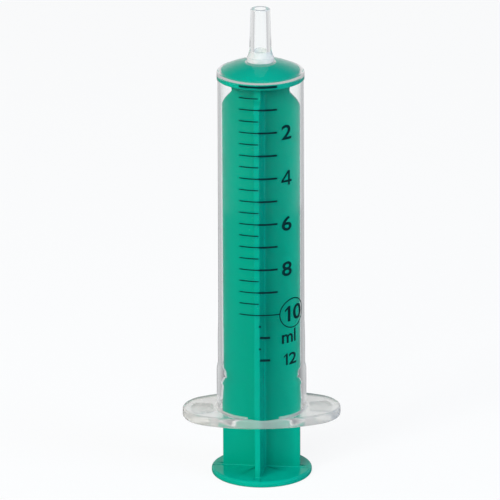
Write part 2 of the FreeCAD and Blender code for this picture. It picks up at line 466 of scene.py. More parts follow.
@dataclass(frozen=True)
class ClearPlastic:
    """Clear polypropylene: glossy, with a little waviness from the mould."""

    name: str = "clear plastic"
    clarity: float = 1.0
    pale: Triple = (0.985, 0.993, 0.993)
    deep: Triple = (0.972, 0.986, 0.987)
    refraction: float = 1.49
    gloss: float = 0.07           # share of the full gloss, so that what is inside shows clearly
    roughness: Point = (0.015, 0.05)
    waves: float = 0.25           # cells of the uneven pattern in a millimetre
    stretch: Triple = (1, 1, 0.35)
    waviness: float = 0.0006
    passed: float = 0.97          # share of the light that passes straight through

    def material(self) -> bpy.types.Material:
        """Makes the material.

        Light for what is behind passes straight through it. Light that it has mirrored inside leaves
        at the next face, instead of being caught between its walls.

        Returns:
            The material.
        """
        material = bpy.data.materials.new(self.name)
        sheet = NodeSheet(material)
        flow = sheet.noise(self.waves, detail=3.0, stretch=self.stretch)
        plastic = sheet.plastic(flow, (self.pale, self.deep), self.roughness)
        plastic.inputs["Transmission Weight"].default_value = self.clarity
        plastic.inputs["IOR"].default_value = self.refraction
        plastic.inputs["Specular Tint"].default_value = (self.gloss, self.gloss, self.gloss, 1)
        sheet.join(sheet.bump(flow, self.waviness), plastic.inputs["Normal"])
        passing = sheet.add("BsdfTransparent")
        passing.inputs["Color"].default_value = (self.passed, self.passed, self.passed, 1)
        path = sheet.add("LightPath").outputs
        side = sheet.add("NewGeometry").outputs
        lit = sheet.maths("MAXIMUM", path["Is Shadow Ray"], path["Is Diffuse Ray"])
        caught = sheet.maths("MULTIPLY", path["Glossy Depth"], side["Backfacing"])
        straight = sheet.maths("MAXIMUM", lit, caught)
        sheet.show(sheet.mix(straight, plastic.outputs["BSDF"], passing.outputs["BSDF"]))
        return material


@dataclass(frozen=True)
class GreenPlastic:
    """Opaque sea green polyethylene, satin from the mould."""

    light: Triple = (0.0, 0.365, 0.244)
    dark: Triple = (0.0, 0.34, 0.23)
    gloss: float = 0.08           # specular level, which keeps the satin look
    roughness: Point = (0.12, 0.22)
    waves: float = 0.2            # cells of the uneven pattern in a millimetre
    stretch: Triple = (1, 1, 0.3)
    grains: float = 6.0           # grains in a millimetre
    grain: float = 0.004

    def material(self) -> bpy.types.Material:
        """Makes the material.

        Returns:
            The material.
        """
        material = bpy.data.materials.new("green plastic")
        sheet = NodeSheet(material)
        flow = sheet.noise(self.waves, detail=3.0, stretch=self.stretch)
        plastic = sheet.plastic(flow, (self.light, self.dark), self.roughness)
        plastic.inputs["Specular IOR Level"].default_value = self.gloss
        sheet.join(sheet.bump(sheet.noise(self.grains), self.grain), plastic.inputs["Normal"])
        sheet.show(plastic.outputs["BSDF"])
        return material


@dataclass(frozen=True)
class ScaleInk:
    """Black print, a little uneven in its cover."""

    full: Triple = (0.001, 0.012, 0.014)
    thin: Triple = (0.001, 0.035, 0.035)
    gloss: float = 0.05
    roughness: Point = (0.55, 0.75)
    patches: float = 2.5          # patches of thinner cover in a millimetre

    def material(self) -> bpy.types.Material:
        """Makes the material.

        Returns:
            The material.
        """
        material = bpy.data.materials.new("scale ink")
        sheet = NodeSheet(material)
        plastic = sheet.plastic(sheet.noise(self.patches), (self.full, self.thin), self.roughness)
        plastic.inputs["Specular IOR Level"].default_value = self.gloss
        sheet.show(plastic.outputs["BSDF"])
        return material


@dataclass
class Barrel:
    """Clear barrel: nozzle, domed end, drafted tube, collar and finger flange, in one piece."""

    facets: int = 160
    bore: float = 8.12
    flange_low: float = 12.3
    flange_thickness: float = 2.1
    collar_height: float = 8.6
    body_height: float = 63.2
    body_top_radius: float = 8.70
    body_low_radius: float = 8.81
    foot_radius: float = 8.92
    foot_height: float = 6.2
    foot_slope: float = 4.0
    collar_radius: float = 9.18
    step_slope: float = 0.5
    collar_ease: float = 2.0      # height of the soft step above the collar
    flare: float = 0.45
    bead_radius: float = 8.88
    bead_height: float = 1.3
    rim_round: float = 0.5
    dome_radius: float = 17.5
    end_wall: float = 0.9
    inner_round: float = 0.35
    nozzle_length: float = 8.7
    taper: float = 0.06
    tip_radius: float = 1.96
    tip_round: float = 0.15
    tip_bore: float = 1.12
    base_bore: float = 1.38
    nozzle_flare: float = 1.3
    boss_radius: float = 2.75
    boss_height: float = 0.9
    boss_round: float = 0.15
    ring_depth: float = 0.09
    ring_width: float = 2.4
    ring_height: float = 9.0
    lead_in_height: float = 5.2
    lead_in_depth: float = 0.16
    mouth_depth: float = 0.30
    mouth_round: float = 0.3
    flange_length: float = 32.4
    flange_depth: float = 18.6
    flange_end_arc: float = 7.2
    flange_edge: float = 0.5
    pocket_depth: float = 0.8
    pocket_start: float = 9.9
    pocket_end_wall: float = 1.7
    pocket_inner_width: float = 5.0
    pocket_outer_width: float = 7.6
    spare: float = 1.0            # length by which a cutting shape runs past what it cuts
    ease_above: float = 0.6       # share of the soft step that lies above the collar's top
    ease_steps: int = 8
    ring_steps: int = 6
    rim_start: float = 70.0       # degrees above the level, where the rim's rounding begins
    bend_gap: float = 1.0         # degrees left between a dome's arc and the rounding beside it
    satin: ClearPlastic = ClearPlastic(
        "satin clear plastic", clarity=0.66, pale=(0.782, 0.75, 0.7), deep=(0.7, 0.672, 0.63),
        roughness=(0.13, 0.22))
    milky: ClearPlastic = ClearPlastic(
        "milky clear plastic", clarity=0.45, pale=(0.865, 0.85, 0.815), deep=(0.785, 0.775, 0.745))

    @property
    def flange_top(self) -> float:
        """Height of the flange's top."""
        return self.flange_low + self.flange_thickness

    @property
    def collar_top(self) -> float:
        """Height of the step above the collar."""
        return self.flange_top + self.collar_height

    @property
    def rim_top(self) -> float:
        """Height of the rim's crest."""
        return self.collar_top + self.body_height

    @property
    def rim_flat(self) -> float:
        """Radius at which the dome meets the rim's rounding."""
        return self.bead_radius - self.rim_round

    @property
    def dome_centre(self) -> float:
        """Height of the dome's centre."""
        return self.rim_top - math.sqrt(self.dome_radius ** 2 - self.rim_flat ** 2)

    @property
    def boss_foot(self) -> float:
        """Height at which the nozzle's foot meets the dome."""
        return self.dome_height(self.dome_radius, self.boss_radius)

    @property
    def nozzle_base(self) -> float:
        """Height at which the nozzle's cone begins."""
        return self.boss_foot + self.boss_height + self.nozzle_flare

    @property
    def tip_top(self) -> float:
        """Height of the nozzle's end."""
        return self.nozzle_base + self.nozzle_length

    def dome_height(self, sphere: float, radius: float) -> float:
        """Height of a sphere about the dome's centre, at a radius from the axis."""
        return self.dome_centre + math.sqrt(sphere ** 2 - radius ** 2)

    def dome_angle(self, sphere: float, radius: float) -> float:
        """Degrees above the level at which a sphere about the dome's centre reaches a radius."""
        return math.degrees(math.acos(radius / sphere))

    def outside(self) -> Piece:
        """Turns the outside, solid from the flange's middle to the nozzle's end.

        Returns:
            The closed shape.
        """
        boss_top = self.boss_foot + self.boss_height
        bead_low = self.rim_top - self.rim_round - self.bead_height
        foot_top = self.collar_top + self.foot_height
        middle = self.flange_low + self.flange_thickness / 2
        centre = (0.0, self.dome_centre)
        line = Outline().to(0, self.tip_top)
        line.arc((self.tip_radius - self.tip_round, self.tip_top - self.tip_round), self.tip_round,
                 90, 0, 4)
        line.to(self.tip_radius + self.nozzle_length * self.taper / 2, self.nozzle_base)
        line.arc((self.boss_radius - self.boss_round, boss_top - self.boss_round), self.boss_round,
                 90, 0, 4)
        line.arc(centre, self.dome_radius, self.dome_angle(self.dome_radius, self.boss_radius),
                 self.dome_angle(self.dome_radius, self.rim_flat), 10)
        line.arc((self.rim_flat, self.rim_top - self.rim_round), self.rim_round, self.rim_start, 0)
        line.to(self.bead_radius, bead_low)
        line.to(self.body_top_radius, bead_low - self.step_slope)
        line.to(self.body_low_radius, foot_top + self.foot_slope)
        line.to(self.foot_radius, foot_top)
        for step in range(self.ease_steps + 1):
            swell = (1 - math.cos(math.pi * step / self.ease_steps)) / 2
            line.to(self.foot_radius + swell * (self.collar_radius - self.foot_radius),
                    self.collar_top + self.collar_ease * (self.ease_above - step / self.ease_steps))
        line.to(self.collar_radius, middle)
        line.to(0, middle)
        return Bench.lathe("barrel_shape", line, self.facets)

    def cavity(self) -> Piece:
        """Turns what is hollow: mouth, lead-in, ring, bore, inner dome and nozzle bore.

        Returns:
            The closed shape.
        """
        mouth = self.bore + self.mouth_depth
        lead_in_top = self.flange_low + self.lead_in_height
        ring_middle = self.flange_low + self.ring_height
        sphere = self.dome_radius - self.end_wall
        round_at = self.bore - self.inner_round
        round_height = self.dome_height(sphere - self.inner_round, round_at)
        meet = self.dome_angle(sphere - self.inner_round, round_at)
        mouth_edge = mouth + self.mouth_round
        low = self.flange_low - self.spare
        line = Outline().to(0, low).to(mouth_edge, low)
        line.arc((mouth_edge, self.flange_low + self.mouth_round), self.mouth_round, 270, 180, 4)
        line.to(self.bore + self.lead_in_depth, lead_in_top - self.step_slope)
        line.to(self.bore, lead_in_top)
        for step in range(self.ring_steps + 1):
            along = step / self.ring_steps
            swell = self.ring_depth * (1 - (2 * along - 1) ** 2)
            line.to(self.bore - swell, ring_middle + self.ring_width * (along - 0.5))
        line.arc((round_at, round_height), self.inner_round, 0, meet, 5)
        line.arc((0.0, self.dome_centre), sphere, meet + self.bend_gap,
                 self.dome_angle(sphere, self.base_bore), 10)
        line.to(self.tip_bore, self.tip_top + self.spare).to(0, self.tip_top + self.spare)
        return Bench.lathe("cavity", line, self.facets)

    def oval(self, inset: float) -> Outline:
        """Plan of the flange: an oval of four arcs, drawn in by an inset.

        Args:
            inset: Distance inside the flange's edge.

        Returns:
            The outline.
        """
        half_length = self.flange_length / 2 - inset
        half_depth = self.flange_depth / 2 - inset
        end_arc = self.flange_end_arc - inset
        end_centre = half_length - end_arc
        side_arc = (end_centre ** 2 + half_depth ** 2 - end_arc ** 2) / (2 * (half_depth - end_arc))
        side_centre = side_arc - half_depth
        turn = math.degrees(math.atan2(side_centre, end_centre))
        line = Outline()
        line.arc((end_centre, 0), end_arc, -turn, turn, 32)
        line.arc((0, -side_centre), side_arc, turn, 180 - turn, 48)
        line.arc((-end_centre, 0), end_arc, 180 - turn, 180 + turn, 32)
        line.arc((0, side_centre), side_arc, 180 + turn, 360 - turn, 48)
        return line

    def flange(self) -> Piece:
        """Makes the oval plate with rounded edges and the collar's flare on it.

        Returns:
            The closed shape.
        """
        plate = Bench.prism("flange", self.oval(0), self.flange_low, self.flange_thickness)
        Bench.round_edges(plate, lambda a, b: abs(a.z - b.z) < Bench.LEVEL, self.flange_edge)
        outer = self.collar_radius + self.flare
        inner = (self.bore + self.collar_radius) / 2
        sunk = self.flange_top - self.flange_edge
        line = Outline().to(inner, sunk).to(outer, sunk)
        line.arc((outer, self.flange_top + self.flare), self.flare, 270, 180, 5)
        line.to(inner, self.flange_top + self.flare)
        flare = Bench.lathe("flare", line, self.facets)
        limit = Bench.prism("limit", self.oval(self.flange_edge), self.flange_low,
                            2 * self.flange_thickness)
        Bench.combine(flare, limit, Joining.KEEP_COMMON)
        Bench.combine(plate, flare, Joining.UNITE)
        return plate

    def pocket(self, side: int) -> Piece:
        """Makes the shape of the recess under one wing.

        Args:
            side: 1 for the +X wing, -1 for the other.

        Returns:
            The closed shape to cut away.
        """
        end = self.flange_length / 2
        line = Outline().to(side * self.pocket_start, -self.pocket_inner_width / 2)
        line.to(side * end, -self.pocket_outer_width / 2).to(side * end, self.pocket_outer_width / 2)
        line.to(side * self.pocket_start, self.pocket_inner_width / 2)
        low = self.flange_low - self.pocket_depth
        wedge = Bench.prism("pocket", line, low, 2 * self.pocket_depth)
        limit = Bench.prism("limit", self.oval(self.pocket_end_wall), low - self.spare,
                            2 * self.pocket_depth + 2 * self.spare)
        Bench.combine(wedge, limit, Joining.KEEP_COMMON)
        return wedge

    def build(self) -> Piece:
        """Makes the barrel in one closed mesh.

        Returns:
            The barrel.
        """
        piece = self.outside()
        Bench.combine(piece, self.flange(), Joining.UNITE)
        Bench.combine(piece, self.cavity(), Joining.CUT)
        for side in (-1, 1):
            Bench.combine(piece, self.pocket(side), Joining.CUT)
        Bench.smooth(piece)
        return piece

    def dress(self, piece: Piece) -> None:
        """Gives the barrel its plastic, satin on the flange, and its place in the frame.

        Args:
            piece: The barrel.
        """
        finishes = [ClearPlastic(), self.satin, self.milky]
        piece.data.materials.clear()
        for finish in finishes:
            piece.data.materials.append(finish.material())
        flange_end = (self.flange_top + self.flare) * MM
        foot, base = self.boss_foot * MM, self.nozzle_base * MM
        tip = (self.tip_top - 2 * self.tip_round) * MM
        for face in piece.data.polygons:
            height, away = face.center.z, face.center.xy.length
            if height < flange_end and away > self.collar_radius * MM:
                face.material_index = finishes.index(self.satin)
            elif foot < height < base and away > self.tip_radius * MM or height > tip:
                face.material_index = finishes.index(self.milky)
        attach(piece, Body.BARREL.value)
        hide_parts("barrel")


@dataclass
class Plunger:
    """Green plunger: thumb rest, four ribs and a thin domed head with its sealing lip, in one piece."""

    barrel: Barrel
    facets: int = 160
    turn: float = -8.6
    thumb_radius: float = 10.3
    thumb_thickness: float = 1.35
    thumb_round: float = 0.5
    ribs: int = 4
    rib_radius: float = 7.95
    rib_root: float = 1.45
    rib_edge: float = 1.10
    rib_root_fillet: float = 0.5
    rib_edge_round: float = 0.14
    rib_foot_fillet: float = 0.3
    neck_radius: float = 5.85
    neck_length: float = 2.15
    neck_arc: float = 1.2
    shoulder_arc: float = 4.2
    shoulder_angle: float = 45.0
    seal_press: float = 0.01
    air_gap: float = 0.06         # between head and end wall, under the nozzle and along the edge
    touching: Point = (3.0, 7.75)     # radii between which the head touches the end wall
    head_wall: float = 1.2
    lip_height: float = 0.5
    lip_width: float = 0.9
    lip_round: float = 0.12
    head_round: float = 0.5
    clear_by: float = 0.8         # degrees past those radii at which the head stands off the end wall
    home_by: float = 0.4          # degrees within them at which it touches
    bend_gap: float = 0.5         # degrees left between the dome's arc and the rounding of its edge

    @property
    def rib_clear(self) -> float:
        """Radius just past the ribs' edges."""
        return self.rib_radius + self.rib_edge / 4

    @property
    def head_sphere(self) -> float:
        """Radius of the head's domed top, which is home against the end wall."""
        return self.barrel.dome_radius - self.barrel.end_wall + self.seal_press

    @property
    def head_radius(self) -> float:
        """Radius of the sealing lip, which presses on the bore."""
        return self.barrel.bore + self.seal_press

    @property
    def lip_low(self) -> float:
        """Height of the sealing lip's lower edge."""
        edge = self.barrel.dome_height(self.head_sphere, self.head_radius)
        return edge - self.lip_height - self.head_round

    def thumb_rest(self) -> Piece:
        """Turns the thumb rest.

        Returns:
            The closed shape.
        """
        flat = self.thumb_radius - self.thumb_round
        line = Outline().to(0, 0)
        line.arc((flat, self.thumb_round), self.thumb_round, 270, 360)
        line.arc((flat, self.thumb_thickness - self.thumb_round), self.thumb_round, 0, 90)
        line.to(0, self.thumb_thickness)
        return Bench.lathe("plunger_shape", line, self.facets)

    def rib_star(self, low: float, height: float) -> Piece:
        """Raises the cross of tapering ribs.

        Args:
            low: Height of its underside.
            height: Its height.

        Returns:
            The closed shape.
        """
        thinning = (self.rib_root - self.rib_edge) / 2 / self.rib_radius
        root = self.rib_root / 2 / (1 + thinning)
        line = Outline()
        for number in range(self.ribs):
            turn = math.radians(number * 360 / self.ribs)
            half = self.rib_edge / 2
            for x, y in ((root, -root), (self.rib_radius, -half), (self.rib_radius, half)):
                line.to(x * math.cos(turn) - y * math.sin(turn), x * math.sin(turn) + y * math.cos(turn))
        star = Bench.prism("ribs", line, low, height)
        middle = self.rib_radius / 2

        def upright(a: Vector, b: Vector) -> bool:
            """Tells whether an edge between two places stands upright."""
            return abs(a.z - b.z) > height / 2

        Bench.round_edges(star, lambda a, b: upright(a, b) and a.xy.length < middle,
                          self.rib_root_fillet)
        Bench.round_edges(star, lambda a, b: upright(a, b) and a.xy.length > middle,
                          self.rib_edge_round, 3)
        return star

    def rib_limit(self, low: float) -> Piece:
        """Turns the shape that the ribs are kept to: full width, shoulder, neck, and up inside the head.

        Args:
            low: Height of its underside.

        Returns:
            The closed shape.
        """
        angle = math.radians(self.shoulder_angle)
        neck_low = self.lip_low - self.neck_length
        slope_start = self.neck_radius + self.neck_arc * (1 - math.cos(angle))
        neck_foot = neck_low - self.neck_arc * math.sin(angle)
        slope_end = self.rib_clear - self.shoulder_arc * (1 - math.cos(angle))
        shoulder_top = neck_foot - (slope_end - slope_start) * math.tan(angle)
        shoulder = (self.rib_clear - self.shoulder_arc,
                    shoulder_top - self.shoulder_arc * math.sin(angle))
        inside = self.head_sphere - self.head_wall / 2
        line = Outline().to(0, low).to(self.rib_clear, low)
        line.arc(shoulder, self.shoulder_arc, 0, self.shoulder_angle, 10)
        line.arc((self.neck_radius + self.neck_arc, neck_low), self.neck_arc,
                 180 + self.shoulder_angle, 180, 8)
        line.arc((0, self.barrel.dome_centre), inside,
                 self.barrel.dome_angle(inside, self.neck_radius), 90)
        return Bench.lathe("rib_limit", line, self.facets)

    def head(self) -> Piece:
        """Turns the domed shell with the lip that hangs below it.

        Returns:
            The closed shape.
        """
        sphere = self.head_sphere
        skirt = self.head_radius - self.lip_width
        shell = sphere - self.head_wall
        round_at = self.head_radius - self.head_round
        round_height = self.barrel.dome_height(sphere - self.air_gap - self.head_round, round_at)
        meet = self.barrel.dome_angle(sphere - self.air_gap - self.head_round, round_at)
        centre = (0.0, self.barrel.dome_centre)
        clear = sphere - self.air_gap
        inner, outer = (self.barrel.dome_angle(sphere, radius) for radius in self.touching)
        line = Outline().arc(centre, clear, 90, inner + self.clear_by, 4)
        line.arc(centre, sphere, inner - self.home_by, outer + self.home_by, 8)
        line.arc(centre, clear, outer - self.clear_by, meet + self.bend_gap, 3)
        line.arc((round_at, round_height), self.head_round, meet, 0, 5)
        lip_middle = self.lip_low + self.lip_round
        line.arc((self.head_radius - self.lip_round, lip_middle), self.lip_round, 0, -90, 4)
        line.arc((skirt + self.lip_round, lip_middle), self.lip_round, 270, 180, 4)
        line.arc(centre, shell, self.barrel.dome_angle(shell, skirt), 90, 8)
        return Bench.lathe("head", line, self.facets)

    def build(self) -> Piece:
        """Makes the plunger in one closed mesh.

        Returns:
            The plunger.
        """
        low = self.thumb_thickness / 2
        top = self.barrel.dome_height(self.head_sphere, 0)
        ribs = self.rib_star(low, top - low)
        Bench.combine(ribs, self.rib_limit(low - self.barrel.spare), Joining.KEEP_COMMON)
        piece = self.thumb_rest()
        Bench.combine(piece, ribs, Joining.UNITE)

        def at_foot(a: Vector, b: Vector) -> bool:
            """Tells whether an edge lies on the thumb rest's top, where the ribs meet it."""
            return all(abs(end.z - self.thumb_thickness) < Bench.LEVEL and end.xy.length < self.rib_clear
                       for end in (a, b))

        Bench.round_edges(piece, at_foot, self.rib_foot_fillet, 3)
        Bench.combine(piece, self.head(), Joining.UNITE)
        piece.rotation_euler.z = math.radians(self.turn)
        Bench.pick(piece)
        bpy.ops.object.transform_apply(location=False, rotation=True, scale=False)
        Bench.smooth(piece)
        return piece

    def dress(self, piece: Piece) -> None:
        """Gives the plunger its plastic and its place in the frame.

        Args:
            piece: The plunger.
        """
        piece.data.materials.clear()
        piece.data.materials.append(GreenPlastic().material())
        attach(piece, Body.PLUNGER.value)
        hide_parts("plunger")


@dataclass(frozen=True)
class Sign:
    """A numeral or unit beside the scale."""

    text: str
    volume: float                 # scale line that it stands beside
    at: float                     # degrees from the front to its middle
    width: float
    height: float
    drop: float                   # distance of its middle below the line


@dataclass
class VolumeScale:
    """Print on the barrel: lines for millilitres and halves, numerals, and the nominal volume's ring."""

    barrel: Barrel
    zero_height: float = 85.05
    start: float = -32.3          # degrees from the front, where the lines begin
    half_end: float = -5.5        # end of the half-millilitre lines
    end: float = 20.2             # end of the whole lines
    ring_end: float = 23.0        # end of the nominal volume's line, on the ring
    dash: Point = (-4.3, 9.6)     # ends of the whole lines past the nominal volume
    dot: Point = (-5.6, -2.6)     # ends of the half-millilitre lines past it
    fine: float = 0.25            # width of the half-millilitre lines
    bold: float = 0.42            # width of the right half of whole lines, and of the dots
    zero_line: float = 0.50       # width of the zero line and of the dashes
    thickness: float = 0.02
    sunk: float = 0.006
    strip: float = 0.3            # width of the flat strips that the print is bent in
    nominal: int = 10
    last: int = 12
    boldness: float = 0.019       # widening of a letter's outline, in its own units
    letter_steps: int = 5
    signs: tuple[Sign, ...] = (
        Sign("2", 2, 34.5, 2.5, 3.12, 0.23),
        Sign("4", 4, 34.5, 2.65, 3.12, 0.23),
        Sign("6", 6, 34.5, 2.5, 3.12, 0.23),
        Sign("8", 8, 34.5, 2.5, 3.12, 0.23),
        Sign("1", 10, 35.4, 1.4, 3.3, 0.3),
        Sign("0", 10, 53.8, 2.8, 3.3, 0.3),
        Sign("ml", 11, 37.8, 3.7, 2.8, 0.25),
        Sign("1", 12, 31.9, 1.0, 2.5, 0.3),
        Sign("2", 12, 44.0, 2.2, 2.55, 0.3),
    )
    one: Loop = ((0.5, 0), (1, 0), (1, 1), (0.62, 1), (0, 0.78), (0, 0.64), (0.5, 0.8))
    four: Loop = ((0.62, 0), (0.81, 0), (0.81, 0.21), (1, 0.21), (1, 0.36), (0.81, 0.36), (0.81, 1),
                  (0.6, 1), (0, 0.34), (0, 0.21), (0.62, 0.21))
    four_hole: Loop = ((0.21, 0.36), (0.62, 0.36), (0.62, 0.8))
    ring: Point = (6.85, 6.4)     # width and height of the ring
    ring_facets: int = 96
    ring_at: float = 44.6
    ring_drop: float = 0.28
    ring_line: float = 0.24

    @property
    def per_ml(self) -> float:
        """Length of the bore that holds a millilitre."""
        return MILLILITRE / (math.pi * self.barrel.bore ** 2)

    def height_of(self, volume: float) -> float:
        """Height of a volume's line, the volume in millilitres."""
        return self.zero_height - volume * self.per_ml

    def wall_radius(self, height: float) -> float:
        """Radius of the drafted wall's outside.

        Args:
            height: Height on the barrel.

        Returns:
            The radius.
        """
        barrel = self.barrel
        low = barrel.collar_top + barrel.foot_height + barrel.foot_slope
        high = barrel.rim_top - barrel.rim_round - barrel.bead_height - barrel.step_slope
        share = min(max((height - low) / (high - low), 0), 1)
        return barrel.body_low_radius + share * (barrel.body_top_radius - barrel.body_low_radius)

    def lay(self, piece: Piece, at: float, height: float) -> None:
        """Lays flat print on the wall, bent round it, and gives it the ink's thickness.

        Args:
            piece: Flat print about its own middle, facing up.
            at: Degrees from the front to the print's middle.
            height: Height of its middle.
        """
        radius = (self.wall_radius(height) - self.sunk) * MM
        piece.location = (math.radians(at) * radius, 0, height * MM)
        piece.rotation_euler = (math.pi / 2, 0, 0)
        Bench.pick(piece)
        bpy.ops.object.transform_apply(location=True, rotation=True, scale=True)
        xs = [vertex.co.x for vertex in piece.data.vertices]
        bpy.ops.object.mode_set(mode="EDIT")
        for step in range(1, math.ceil((max(xs) - min(xs)) / (self.strip * MM))):
            bpy.ops.mesh.select_all(action="SELECT")
            bpy.ops.mesh.bisect(plane_co=(min(xs) + step * self.strip * MM, 0, 0), plane_no=(1, 0, 0))
        Bench.pick(piece)
        bend = piece.modifiers.new("wrap", "SIMPLE_DEFORM")
        bend.deform_method = "BEND"
        bend.deform_axis = "Z"
        bend.angle = (max(xs) - min(xs)) / radius
        bpy.ops.object.modifier_apply(modifier=bend.name)
        coat = piece.modifiers.new("coat", "SOLIDIFY")
        coat.thickness = self.thickness * MM
        coat.offset = 1.0
        bpy.ops.object.modifier_apply(modifier=coat.name)
        piece.location.y = -radius
        bpy.ops.object.transform_apply(location=True, rotation=False, scale=False)

    def line(self, volume: float, span: Point, width: float) -> Piece:
        """Prints one line of the scale.

        Args:
            volume: The volume that it marks.
            span: Where it begins and ends, in degrees from the front.
            width: Its width.

        Returns:
            The line on the wall.
        """
        height = self.height_of(volume)
        length = math.radians(span[1] - span[0]) * self.wall_radius(height)
        Bench.deselect()
        bpy.ops.mesh.primitive_plane_add(size=MM, enter_editmode=True)
        bpy.ops.transform.resize(value=(length, width, 1))
        piece = bpy.context.object
        self.lay(piece, (span[0] + span[1]) / 2, height)
        return piece

    def lines(self) -> list[Piece]:
        """Prints the lines: whole ones, bolder to the right, halves, and short ones at the end.

        Returns:
            The lines.
        """
        made = []
        for half in range(2 * self.nominal + 1):
            volume = half / 2
            made.append(self.line(volume, (self.start, self.half_end), self.fine if half else self.bold))
            if half == 0:
                made.append(self.line(volume, (self.half_end, self.end), self.zero_line))
            elif volume == self.nominal:
                made.append(self.line(volume, (self.half_end, self.ring_end), self.fine))
            elif half % 2 == 0:
                made.append(self.line(volume, (self.half_end, self.end), self.bold))
        for volume in range(self.nominal + 1, self.last + 1):
            made.append(self.line(volume - 0.5, self.dot, self.bold))
            made.append(self.line(volume, self.dash, self.zero_line))
        return made

    def drawn(self, *loops: Loop) -> None:
        """Draws a sign by its outline and its hole, filled in between, and leaves it active.

        Args:
            loops: The outline, and the hole where there is one.
        """
        rings = []
        for loop in loops:
            places = [Vector((x, y, 0)) for x, y in loop]
            rings.append(Bench.draw("outline", places + places[:1]))
        Bench.pick(rings[0])
        if len(rings) > 1:
            self.joined("outline", rings)
        bpy.ops.object.mode_set(mode="EDIT")
        bpy.ops.mesh.select_all(action="SELECT")
        bpy.ops.mesh.fill(use_beauty=True)
        bpy.ops.object.mode_set(mode="OBJECT")
        if rings[0].data.polygons[0].normal.z < 0:
            rings[0].data.flip_normals()

    def numeral(self, sign: Sign) -> Piece:
        """Prints a numeral or unit.

        Args:
            sign: What it says, its place and its size.

        Returns:
            The print on the wall.
        """
        Bench.deselect()
        if sign.text == "1":
            self.drawn(self.one)
        elif sign.text == "4":
            self.drawn(self.four, self.four_hole)
        else:
            bpy.ops.object.text_add()
            text = bpy.context.object.data
            text.body = sign.text
            text.offset = self.boldness
            text.resolution_u = self.letter_steps
            bpy.ops.object.convert(target="MESH")
        piece = bpy.context.object
        Bench.pick(piece)
        bpy.ops.object.origin_set(type="ORIGIN_GEOMETRY", center="BOUNDS")
        piece.dimensions = (sign.width * MM, sign.height * MM, 0)
        self.lay(piece, sign.at, self.height_of(sign.volume) - sign.drop)
        return piece

    def nominal_ring(self) -> Piece:
        """Prints the ring round the nominal volume.

        Returns:
            The ring on the wall.
        """
        Bench.deselect()
        bpy.ops.mesh.primitive_circle_add(vertices=self.ring_facets, radius=MM / 2, fill_type="NGON",
                                          enter_editmode=True)
        bpy.ops.transform.resize(value=(*self.ring, 1))
        bpy.ops.mesh.inset(thickness=self.ring_line * MM)
        bpy.ops.mesh.delete(type="FACE")
        piece = bpy.context.object
        self.lay(piece, self.ring_at, self.height_of(self.nominal) - self.ring_drop)
        return piece

    def joined(self, name: str, pieces: list[Piece]) -> Piece:
        """Joins printed pieces into one.

        Args:
            name: Name of the piece.
            pieces: The pieces to join.

        Returns:
            The joined piece.
        """
        Bench.pick(pieces[0])
        for piece in pieces:
            piece.select_set(True)
        bpy.ops.object.join()
        pieces[0].name = name
        return pieces[0]

    def build(self) -> list[Piece]:
        """Prints the scale.

        Returns:
            The printed pieces.
        """
        numerals = [self.numeral(sign) for sign in self.signs]
        lines = self.joined("scale_lines", self.lines())
        return [lines, self.joined("scale_numerals", numerals + [self.nominal_ring()])]

    def dress(self, pieces: list[Piece]) -> None:
        """Inks the print and sets it on the barrel.

        Args:
            pieces: The printed pieces.
        """
        ink = ScaleInk().material()
        for piece in pieces:
            piece.data.materials.clear()
            piece.data.materials.append(ink)
            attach(piece, Body.BARREL.value)


@dataclass(frozen=True)
class Lamp:
    """A soft lamp: its place and size in millimetres, and its power in watts."""

    name: str
    place: Triple
    size: Point
    power: float
    colour: Triple
    mirrored: bool = False        # whether glossy surfaces mirror it as a highlight


